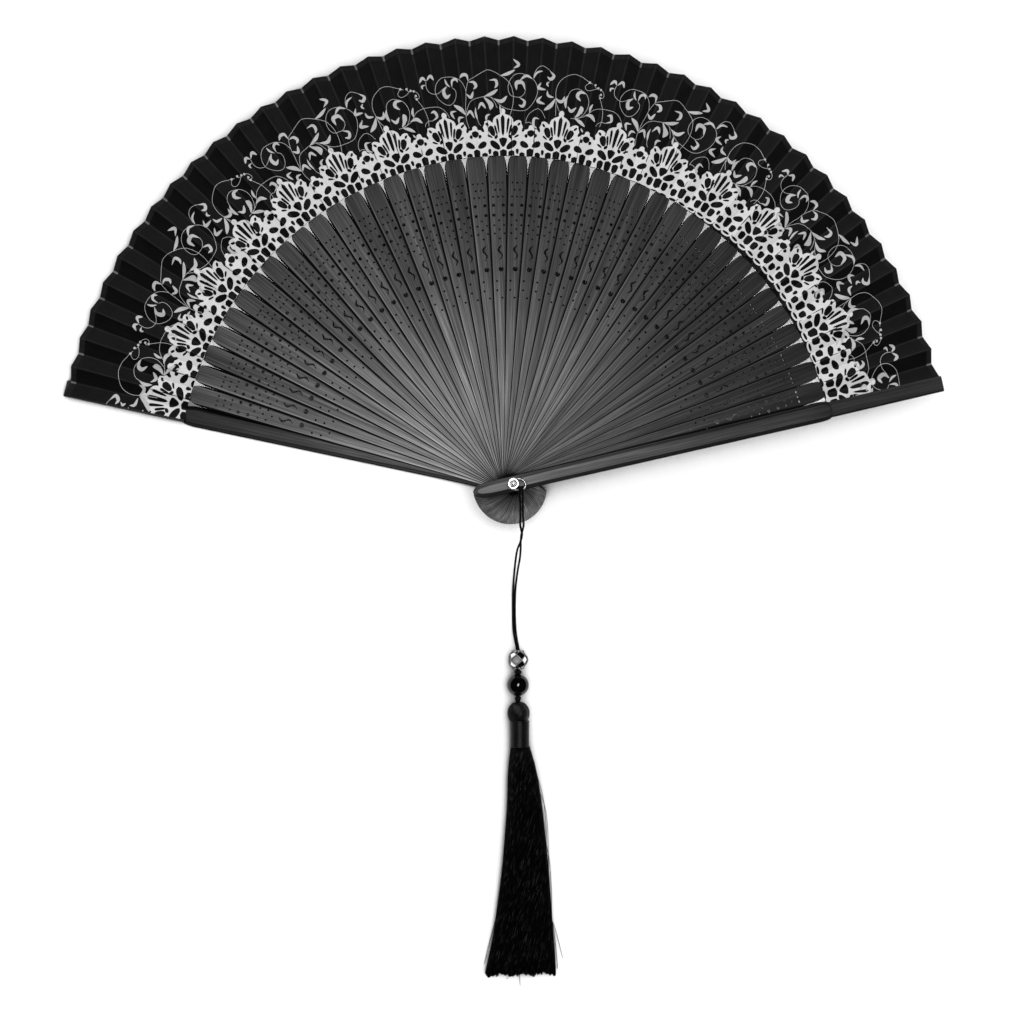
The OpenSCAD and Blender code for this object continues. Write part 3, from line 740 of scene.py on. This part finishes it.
# Tassel neck: one thread wound round and round
NECK_X, NECK_Z, NECK_R, NECK_L = 4.9, 4.8, 4.3, 11.6
NECK_TOP = TASSEL_TOP - HEAD_L
WINDS = 34
path = []
for t in np.linspace(0, 1, WINDS * 40):
    a = math.tau * WINDS * t
    wobble = 0.03 * math.sin(a * 0.37) + 0.02 * math.sin(a * 1.73)
    waist = 0.12 * math.sin(math.pi * t)
    r = NECK_R - THREAD_R - 0.03 - waist + wobble
    path.append(polar(r, a, 0.15 + (NECK_L - 0.3) * t))
wound = tube(path, THREAD_R + 0.02, 6)
neck_core = lathe([(0.02, 0.02), (NECK_R - 0.45, 0.02), (NECK_R - 0.45, NECK_L - 0.02), (0.02, NECK_L - 0.02)], 48)
pts, fcs = joined([wound, neck_core])
tassel_neck = mesh_object("tassel_neck_threads", lying(pts, NECK_X, NECK_TOP, NECK_Z), fcs)

# Tassel skirt: loose threads over a dark core; each section is (y, centre x, half width, thickness)
SKIRT = [
    (-114.9, 5.2, 4.1, 8.4), (-125.0, 6.1, 6.4, 8.2), (-140.0, 7.2, 7.7, 7.4), (-168.0, 7.6, 10.3, 6.4),
    (-192.0, 6.9, 12.8, 5.4), (-204.0, 6.4, 14.4, 4.8), (-214.8, 5.4, 16.0, 4.4),
]
SKIRT_LIFT = 0.2
SKIRT_FROM, SKIRT_END = -114.7, -214.2
skirt_y = np.array([q[0] for q in SKIRT])[::-1]


def skirt_at(y, column):
    return float(np.interp(y, skirt_y, np.array([q[column] for q in SKIRT])[::-1]))


def skirt_point(y, angle, depth):
    """Place in the skirt: depth 1 is its outer face, 0 its middle line."""
    x, half, thick = (skirt_at(y, c) for c in (1, 2, 3))
    return (x + half * depth * math.cos(angle), y, SKIRT_LIFT + thick / 2 * (1 + depth * math.sin(angle)))


def ragged_end(angle, depth):
    """Where a thread ends: the cut is uneven, so the threads end in small tufts."""
    across = depth * math.cos(angle)
    wide, middling = 0.5 * math.sin(11 * across + 1), 0.35 * math.sin(31 * across)
    return SKIRT_END + wide + middling + 0.45 * math.sin(59 * across + 2 * angle)


random.seed(23)
SKIRT_THREADS = 900
SKIRT_THREAD_R = 0.15
strands = []
for i in range(SKIRT_THREADS):
    angle = math.tau * (i + random.uniform(-0.4, 0.4)) / SKIRT_THREADS
    depth = random.uniform(0.93, 0.985)
    end_y = ragged_end(angle, 0.95) + random.uniform(-0.5, 0.5)
    wander, phase = random.uniform(-0.05, 0.05), random.uniform(0, math.tau)
    path = []
    for t in np.linspace(0, 1, 15):
        y = SKIRT_FROM + (end_y - SKIRT_FROM) * t
        swing = wander * math.sin(2.6 * t * math.pi + phase) * t
        path.append(skirt_point(y, angle + swing, depth))
    strands.append(tube(path, SKIRT_THREAD_R, 4))
END_THREADS = 620
for i in range(END_THREADS):
    angle, depth = random.uniform(0, math.tau), math.sqrt(random.uniform(0, 0.86))
    end_y = ragged_end(angle, depth) + random.uniform(-0.6, 0.6)
    path = [skirt_point(y, angle, depth) for y in (-206, -209, -212, end_y)]
    strands.append(tube(path, SKIRT_THREAD_R, 4))
# Stray threads: lists of (x, y, z)
STRAY_R = 0.11
STRAYS = [
    [(17.2, -186, 1.6), (20.6, -194, 1.2), (22.6, -201, 0.9), (24.4, -208.2, 0.7)],
    [(5.2, -213, 1.5), (5.3, -216.5, 1.0), (5.6, -220.0, 0.6)],
    [(12.0, -125, 3.0), (15.2, -136, 2.6), (16.8, -148, 2.2), (17.0, -158, 2.0)],
    [(13.4, -133, 3.2), (16.4, -142, 2.8), (17.6, -152, 2.4), (18.0, -168, 2.0), (18.2, -176, 1.8)],
    [(15.6, -152, 2.0), (18.2, -164, 1.7), (19.2, -176, 1.4), (19.6, -190, 1.2)],
    [(18.6, -186, 1.8), (20.4, -196, 1.4), (21.6, -206, 1.0), (22.2, -213, 0.8)],
    [(-5.2, -190, 1.8), (-7.0, -197, 1.4), (-8.8, -204, 1.0), (-10.2, -210, 0.9)],
    [(0.4, -212, 2.6), (0.2, -215.5, 1.8), (-0.4, -217.0, 1.2)],
]
for line in STRAYS:
    strands.append(tube(smooth_path(line, 6), STRAY_R, 4))
CORE_RINGS, CORE_SIDES, CORE_DEPTH = 16, 32, 0.92
skirt_core = []
for y in np.linspace(-114.8, -213.4, CORE_RINGS):
    skirt_core += [skirt_point(y, math.tau * k / CORE_SIDES, CORE_DEPTH) for k in range(CORE_SIDES)]
pts, fcs = joined(strands + [(skirt_core, ring_faces(CORE_RINGS, CORE_SIDES))])
tassel_skirt = mesh_object("tassel_skirt_threads", pts, fcs)
for piece, node_name in ((tassel_head, "tassel_head"), (tassel_neck, "tassel_neck"), (tassel_skirt, "tassel_skirt")):
    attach(piece, "tail")
    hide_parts(node_name)


# ---- materials ----
def new_material(name, **values):
    """A node material and its Principled shader, with plain values set on the shader's own sockets."""
    material = bpy.data.materials.new(name)
    material.use_nodes = True
    shader = material.node_tree.nodes["Principled BSDF"]
    for key, value in values.items():
        shader.inputs[key.replace("_", " ")].default_value = value
    return material, shader


def add_node(tree, kind, inputs=None, **settings):
    made = tree.nodes.new(kind)
    for key, value in settings.items():
        setattr(made, key, value)
    for key, value in (inputs or {}).items():
        if isinstance(value, bpy.types.NodeSocket):
            tree.links.new(value, made.inputs[key])
        else:
            made.inputs[key].default_value = value
    return made


def mapped(tree, source, turn=0.0, scale=(1, 1, 1), offset=(0, 0, 0)):
    """Coordinates turned about Z, then scaled."""
    turned = add_node(tree, "ShaderNodeMapping", {"Vector": source, "Rotation": (0, 0, turn), "Location": offset})
    return add_node(tree, "ShaderNodeMapping", {"Vector": turned.outputs[0], "Scale": scale}).outputs[0]


def noise(tree, vector, scale=1.0, detail=4.0, rough=0.55):
    settings = {"Vector": vector, "Scale": scale, "Detail": detail, "Roughness": rough}
    return add_node(tree, "ShaderNodeTexNoise", settings).outputs["Fac"]


def ramp(tree, value, stops):
    """Grey ramp: stops are (place, grey)."""
    made = add_node(tree, "ShaderNodeValToRGB", {"Fac": value})
    band = made.color_ramp
    while len(band.elements) < len(stops):
        band.elements.new(0.5)
    for element, (place, grey) in zip(band.elements, stops):
        element.position = place
        element.color = (grey, grey, grey, 1)
    return made.outputs["Color"]


def maths(tree, operation, *values):
    values = dict(enumerate(values))
    return add_node(tree, "ShaderNodeMath", values, operation=operation).outputs[0]


def times(tree, a, b):
    """Product of two colours."""
    made = add_node(tree, "ShaderNodeMix", {"Factor": 1.0}, data_type="RGBA", blend_type="MULTIPLY")
    for socket, value in ((made.inputs["A"], a), (made.inputs["B"], b)):
        if isinstance(value, bpy.types.NodeSocket):
            tree.links.new(value, socket)
        else:
            socket.default_value = (value, value, value, 1)
    return made.outputs["Result"]


def object_spot(tree):
    return add_node(tree, "ShaderNodeTexCoord").outputs["Object"]


def openness(tree, distance, samples):
    """1 where a surface is open, and towards 0 where it's covered within a distance."""
    return add_node(tree, "ShaderNodeAmbientOcclusion", {"Distance": distance}, samples=samples).outputs["AO"]


def from_whole(tree, value):
    """How far a value is from the nearest whole number."""
    return maths(tree, "ABSOLUTE", maths(tree, "SUBTRACT", value, maths(tree, "ROUND", value)))


def set_colour(tree, shader, colour, tone):
    tree.links.new(times(tree, colour, tone), shader.inputs["Base Color"])


def set_roughness(tree, shader, grain, spread, base):
    """Roughness that rises from its base with a noise."""
    tree.links.new(maths(tree, "MULTIPLY_ADD", grain, spread, base), shader.inputs["Roughness"])


def add_bump(tree, shader, height, strength, distance):
    made = add_node(tree, "ShaderNodeBump", {"Height": height, "Strength": strength, "Distance": distance})
    tree.links.new(made.outputs[0], shader.inputs["Normal"])


WIDEN_FROM, WIDEN_TO = 30.0, 134.0  # a stick grows wider between these distances from the rivet, in mm
REACH = 150.0  # sticks are paler towards the rivet, within this distance


def bamboo(name, direction, seed, tone, roughness, specular, half_width, edge_mm, hollow_shade_at):
    """Stained bamboo for one stick: fibres along it, a painted shadow along its edges with a painted highlight on the
    arris, painted shade on its side faces and on faces turned to one side, and painted shade in hollows.
    """
    material, shader = new_material(name, Specular_IOR_Level=specular)
    tree = material.node_tree
    spot = object_spot(tree)
    turn = -math.radians(direction)
    fibre = noise(tree, mapped(tree, spot, turn, (40, 2600, 2600), (seed, 0, seed)), 1, 5, 0.7)
    streak = noise(tree, mapped(tree, spot, turn, (14, 1100, 1100), (0, seed, 0)), 1, 4, 0.6)
    broad = noise(tree, mapped(tree, spot, turn, (14, 170, 170), (seed, seed, 0)), 1, 3)
    colour = times(tree, ramp(tree, fibre, [(0.3, 0.55), (0.5, 0.95), (0.72, 1.75)]),
                   ramp(tree, streak, [(0.3, 0.6), (0.52, 1.0), (0.72, 1.5)]))
    colour = times(tree, colour, ramp(tree, broad, [(0.3, 0.8), (0.7, 1.2)]))

    local = add_node(tree, "ShaderNodeMapping", {"Vector": spot, "Rotation": (0, 0, turn), "Scale": (1000, 1000, 1000)})
    parts = add_node(tree, "ShaderNodeSeparateXYZ", {"Vector": local.outputs[0]})
    along, across = parts.outputs["X"], maths(tree, "ABSOLUTE", parts.outputs["Y"])
    near_w, far_w = half_width
    widening = (far_w - near_w) / (1 - WIDEN_FROM / WIDEN_TO)
    run = maths(tree, "DIVIDE", maths(tree, "MAXIMUM", along, WIDEN_FROM), WIDEN_TO)
    half = maths(tree, "ADD", maths(tree, "MULTIPLY", run, widening), far_w - widening)
    from_edge = maths(tree, "SUBTRACT", half, across)
    width = maths(tree, "ADD", maths(tree, "MULTIPLY", run, edge_mm), 0.12)
    edge = maths(tree, "MULTIPLY", maths(tree, "DIVIDE", from_edge, width), 0.25)
    # Painted shadow just inside each edge, as a neighbour's step would cast, then a thin painted highlight on the
    # arris.
    painted_edge_shadow_and_highlight = maths(tree, "ADD", edge, maths(tree, "MULTIPLY", maths(tree, "SUBTRACT", broad, 0.5), 0.12))
    colour = times(tree, colour, ramp(tree, painted_edge_shadow_and_highlight, [(0.0, 0.02), (0.2, 0.05), (0.27, 1.9), (0.38, 1.3), (0.5, 1.0)]))

    outwards = maths(tree, "DIVIDE", maths(tree, "ABSOLUTE", along), REACH)
    colour = times(tree, colour, ramp(tree, outwards, [(0.1, 4.8), (0.35, 3.7), (0.62, 1.8), (0.95, 1.0)]))
    # Painted shade where the surface is covered close by, as in the holes; there is less of it near the rivet.
    hollow = openness(tree, 0.0011, 12)
    by_rivet = ramp(tree, outwards, [(0.2, 0.3), (0.5, 0.0)])
    painted_hollow_shade = ramp(tree, maths(tree, "ADD", hollow, by_rivet), [(0.0, 0.0), (hollow_shade_at, 0.04), (0.97, 1.0)])
    # Painted shade on the side faces, and on faces turned towards the stick's clockwise side.
    normal = add_node(tree, "ShaderNodeNewGeometry").outputs["True Normal"]
    facing = mapped(tree, normal, turn)
    facing = add_node(tree, "ShaderNodeSeparateXYZ", {"Vector": facing})
    painted_side_shade = ramp(tree, maths(tree, "ABSOLUTE", facing.outputs["Z"]), [(0.6, 0.3), (0.75, 0.4), (0.95, 1.0)])
    painted_turned_side_shade = ramp(tree, maths(tree, "ADD", facing.outputs["Y"], 1.0), [(0.3, 0.3), (0.7, 1.0)])
    colour = times(tree, times(tree, colour, painted_side_shade), painted_turned_side_shade)
    set_colour(tree, shader, times(tree, colour, painted_hollow_shade), tone)
    set_roughness(tree, shader, fibre, 0.2, roughness)
    add_bump(tree, shader, maths(tree, "ADD", fibre, streak), 0.5, 0.00008)
    return material


def set_material(obj, material):
    obj.data.materials.clear()
    obj.data.materials.append(material)


random.seed(5)
for level in range(LAST + 1):
    direction = LOWER_GUARD_DIR - level * FOLD_STEP
    seed = 0.013 * level + random.uniform(0, 3)
    if level in (0, LAST):
        name = "lower_guard" if level == 0 else "upper_guard"
        material = bamboo("bamboo_" + name, direction, seed, 0.019, 0.45, 0.1, (3.35, 4.4), 0.4, 0.7)
    else:
        name = f"rib_{level:02d}"
        # Painted shade: the sticks get darker from the lower guard towards the upper guard, standing in for light and
        # sheen that fall less on them.
        painted_shade = 0.98 - 0.66 * level / LAST
        material = bamboo("bamboo_" + name, direction, seed, 0.042 * painted_shade * random.uniform(0.86, 1.14), 0.55, 0.05,
                          (3.2, 4.4), 0.75 - 0.5 * level / LAST, 0.85 - 0.15 * level / LAST)
    set_material(nodes[name], material)


THREAD_PITCH = 0.00032  # one thread up and one down in the weave, in m


def silk(name, tone, crease, tabs=0.0):
    """Plain-woven black silk: crossed threads, faint pale creases, and pale tabs on the binding."""
    material, shader = new_material(name, Roughness=0.7, Specular_IOR_Level=0.03, Sheen_Weight=0.01,
                                    Sheen_Roughness=0.4)
    tree = material.node_tree
    cloth = add_node(tree, "ShaderNodeUVMap", uv_map="cloth").outputs[0]
    u, v = (add_node(tree, "ShaderNodeSeparateXYZ", {"Vector": cloth}).outputs[k] for k in (0, 1))
    threads = math.tau / THREAD_PITCH
    warp = maths(tree, "SINE", maths(tree, "MULTIPLY", u, threads))
    weft = maths(tree, "SINE", maths(tree, "MULTIPLY", v, threads))
    weave = maths(tree, "MULTIPLY", warp, weft)
    slub = noise(tree, mapped(tree, cloth, 0, (1800, 200, 1)), 1, 3)
    patch = noise(tree, mapped(tree, cloth, 0, (160, 160, 1)), 1, 3)
    pleat = maths(tree, "DIVIDE", u, BAND_MM * MM)
    fold_light = ramp(tree, from_whole(tree, pleat), [(0.0, 1 + crease), (0.05, 1 + crease * 0.4), (0.09, 1.0)])
    colour = times(tree, ramp(tree, slub, [(0.3, 0.8), (0.7, 1.2)]), ramp(tree, patch, [(0.3, 0.85), (0.7, 1.15)]))
    colour = times(tree, times(tree, colour, fold_light), tone)
    if tabs:
        half = maths(tree, "MULTIPLY", maths(tree, "SUBTRACT", pleat, 1.0), 0.5)
        on_valley = ramp(tree, from_whole(tree, half), [(0.0, 1 + tabs), (0.028, 1 + tabs), (0.04, 1.0)])
        colour = times(tree, colour, on_valley)
    tree.links.new(colour, shader.inputs["Base Color"])
    add_bump(tree, shader, maths(tree, "ADD", weave, slub), 0.25, 0.00004)
    return material


set_material(leaf, silk("silk_black", 0.0022, 2.4))
set_material(hem, silk("silk_binding", 0.008, 0.8, tabs=6.0))


def ink(name, tone):
    """Pale print that has sunk a little into the weave."""
    material, shader = new_material(name, Roughness=0.6, Specular_IOR_Level=0.25)
    tree = material.node_tree
    spot = object_spot(tree)
    patch = noise(tree, spot, 900, 3)
    speck = noise(tree, spot, 5200, 2)
    colour = times(tree, ramp(tree, patch, [(0.3, 0.93), (0.7, 1.05)]), ramp(tree, speck, [(0.25, 0.86), (0.6, 1.04)]))
    set_colour(tree, shader, colour, tone)
    add_bump(tree, shader, speck, 0.2, 0.00004)
    return material


set_material(lace, ink("ink_lace", 0.44))
set_material(vines, ink("ink_scroll", 0.32))


def metal(name, tone, roughness, scratch):
    """Polished metal with fine scratches and painted shade in its hollows."""
    material, shader = new_material(name, Metallic=1.0)
    tree = material.node_tree
    spot = object_spot(tree)
    fine = noise(tree, mapped(tree, spot, 0.4, (9000, 900, 2000)), 1, 3)
    cloud = noise(tree, spot, 600, 3)
    # Painted shade in the hollows, where the surface is covered close by.
    painted_recess_shade = ramp(tree, openness(tree, 0.0012, 16), [(0.6, 0.02), (0.9, 1.0)])
    shine = ramp(tree, cloud, [(0.3, 0.9), (0.7, 1.05)])
    set_colour(tree, shader, times(tree, shine, painted_recess_shade), tone)
    set_roughness(tree, shader, fine, scratch, roughness)
    add_bump(tree, shader, fine, 0.08, 0.00002)
    return material


chrome = metal("metal_rivet", 0.95, 0.16, 0.1)
# The tail ring's low tone is painted shade, standing in for the dark surroundings that a chrome ring reflects.
ring_metal_painted_dark = metal("metal_tail_ring", 0.3, 0.12, 0.2)
for name in ("rivet", "rear_washer", "front_washer", "tail_ring"):
    set_material(nodes[name], ring_metal_painted_dark if name == "tail_ring" else chrome)
silver = metal("metal_silver_bead", 0.86, 0.06, 0.12)
set_material(silver_core, silver)
set_material(silver_net, metal("metal_silver_wire", 0.25, 0.2, 0.2))
set_material(silver_grains, metal("metal_silver_grains", 0.4, 0.12, 0.2))

onyx, shader = new_material("bead_black_gloss", Specular_IOR_Level=0.35)
tree = onyx.node_tree
spot = object_spot(tree)
vein = noise(tree, spot, 260, 4)
set_colour(tree, shader, ramp(tree, vein, [(0.4, 0.6), (0.75, 1.6)]), 0.001)
set_roughness(tree, shader, noise(tree, spot, 1500, 2), 0.05, 0.03)
set_material(black_bead, onyx)


def thread(name, tone, roughness, specular, stretch, painted_glint_gain):
    """Dyed thread: fine fibres along it, with painted glints on some of them."""
    material, shader = new_material(name, Specular_IOR_Level=specular)
    tree = material.node_tree
    spot = object_spot(tree)
    fibre = noise(tree, mapped(tree, spot, 0, stretch), 1, 3)
    tuft = noise(tree, spot, 420, 3)
    colour = times(tree, ramp(tree, fibre, [(0.35, 0.5), (0.68, 1.7)]), ramp(tree, tuft, [(0.3, 0.75), (0.7, 1.3)]))
    # Painted glints: bright flecks on some of the fibres.
    glint = noise(tree, mapped(tree, spot, 0.3, tuple(0.6 * k for k in stretch), (0.4, 0.1, 0.2)), 1, 2)
    colour = times(tree, colour, ramp(tree, glint, [(0.56, 1.0), (0.68, painted_glint_gain)]))
    set_colour(tree, shader, colour, tone)
    set_roughness(tree, shader, fibre, 0.25, roughness)
    add_bump(tree, shader, fibre, 0.5, 0.00008)
    return material


cord_material = thread("thread_cord", 0.0008, 0.5, 0.1, (3000, 3000, 3000), 4)
for piece in (left_strand, right_strand, middle_knot, lower_knot):
    set_material(piece, cord_material)
head_material = thread("thread_tassel_head", 0.0006, 0.3, 0.2, (4200, 1500, 4200), 12)
set_material(tassel_head, head_material)
set_material(tassel_neck, thread("thread_tassel_neck", 0.0006, 0.24, 0.22, (1500, 5200, 1500), 16))
set_material(tassel_skirt, thread("thread_tassel_skirt", 0.0004, 0.42, 0.05, (4200, 350, 4200), 30))

# ---- floor and lights ----
FLOOR = 3000
corners = [(-FLOOR, -FLOOR, 0), (FLOOR, -FLOOR, 0), (FLOOR, FLOOR, 0), (-FLOOR, FLOOR, 0)]
floor = mesh_object("floor", corners, [(0, 1, 2, 3)], smooth=False)
paper, shader = new_material("floor_paper", Roughness=0.9, Specular_IOR_Level=0.1)
tree = paper.node_tree
spot = object_spot(tree)
# Painted shadow: the paper darkens where something covers it close by, as under the fan and beside the tail.
painted_shade = ramp(tree, openness(tree, 0.04, 12), [(0.42, 0.1), (0.61, 1.0)])
paper_tone = times(tree, ramp(tree, noise(tree, spot, 60, 3), [(0.3, 0.985), (0.7, 1.0)]), 0.9)
set_colour(tree, shader, paper_tone, painted_shade)
set_material(floor, paper)

world = bpy.data.worlds.new("studio")
bpy.context.scene.world = world
world.use_nodes = True
tree = world.node_tree
sky_way = add_node(tree, "ShaderNodeTexCoord").outputs["Generated"]
height = add_node(tree, "ShaderNodeSeparateXYZ", {"Vector": sky_way}).outputs["Z"]
tree.links.new(ramp(tree, height, [(0.0, 0.85), (0.5, 1.0), (0.9, 0.95)]), tree.nodes["Background"].inputs["Color"])
tree.nodes["Background"].inputs["Strength"].default_value = 1.0
world.cycles_visibility.glossy = False


def light_only(light, objects):
    """Keeps a light to some objects."""
    group = bpy.data.collections.new(light.name + "_objects")
    for obj in objects:
        group.objects.link(obj)
    light.light_linking.receiver_collection = group


def area_light(name, place, aim, width, height, power, objects):
    """Soft rectangular light that reaches only some objects."""
    data = bpy.data.lights.new(name, "AREA")
    data.shape = "RECTANGLE"
    data.size, data.size_y, data.energy = width, height, power
    light = add_object(name, data)
    light.location = place
    light.rotation_euler = (Vector(aim) - Vector(place)).to_track_quat("-Z", "Y").to_euler()
    light_only(light, objects)


lit_pieces = [obj for obj in bpy.data.objects if obj.type == "MESH" and obj not in (floor, black_bead)]
bright_pieces = [silver_core, silver_net, silver_grains, nodes["rivet"], nodes["front_washer"]]
glossy_pieces = bright_pieces + [black_bead, middle_knot, lower_knot, tassel_head, tassel_neck, nodes["tail_ring"]]
area_light("softbox", (-0.2, 0.85, 1.15), (0, 0.03, 0), 1.1, 0.6, 15, lit_pieces)
area_light("paper_light", (0, 0, 1.0), (0, 0, 0), 0.6, 0.6, 5.0, [floor])
area_light("silk_light", (0, 1.3, 0.5), (0, 0.1, 0), 0.8, 0.3, 32, [leaf])
area_light("window", (-0.06, 0.02, 1.2), (0, 0, 0), 0.55, 0.34, 11, glossy_pieces)
area_light("card", (0, 0, 0.9), (0, 0, 0), 1.0, 1.0, 2.2, bright_pieces)

# A small lamp by the camera shines through a curved slot, so that the paper shows white between the sticks' shoulders
LAMP = Vector((-0.098, -0.021, 0.95))
MASK_DROP, MASK_HALF, FAN_MID_Z = 0.05, 1.2, 0.011
SLOT_IN, SLOT_OUT, SLOT_FROM, SLOT_TO = 0.1383, 0.1446, 14.5, 166.0
lamp_data = bpy.data.lights.new("paper_lamp", "POINT")
lamp_data.energy, lamp_data.shadow_soft_size = 400, 0.0004
lamp = add_object("paper_lamp", lamp_data)
lamp.location = LAMP
light_only(lamp, (floor,))
reach = MASK_DROP / (LAMP.z - FAN_MID_Z)
mask_points, mask_faces = [], []
STEPS = 120
for i in range(STEPS):
    a = math.tau * i / STEPS
    for r in (0.001, SLOT_IN, SLOT_OUT, MASK_HALF):
        mask_points.append((LAMP + (Vector((r * math.cos(a), r * math.sin(a), FAN_MID_Z)) - LAMP) * reach) / MM)
    in_slot = SLOT_FROM < 360 * (i + 0.5) / STEPS < SLOT_TO
    for k in (0, 2) if in_slot else (0, 1, 2):
        j = (i + 1) % STEPS
        mask_faces.append((4 * i + k, 4 * i + k + 1, 4 * j + k + 1, 4 * j + k))
mask = mesh_object("lamp_mask", mask_points, mask_faces, smooth=False)
set_material(mask, paper)
mask.visible_camera = mask.visible_diffuse = mask.visible_glossy = mask.visible_transmission = False

bpy.context.scene.view_settings.view_transform = "Standard"
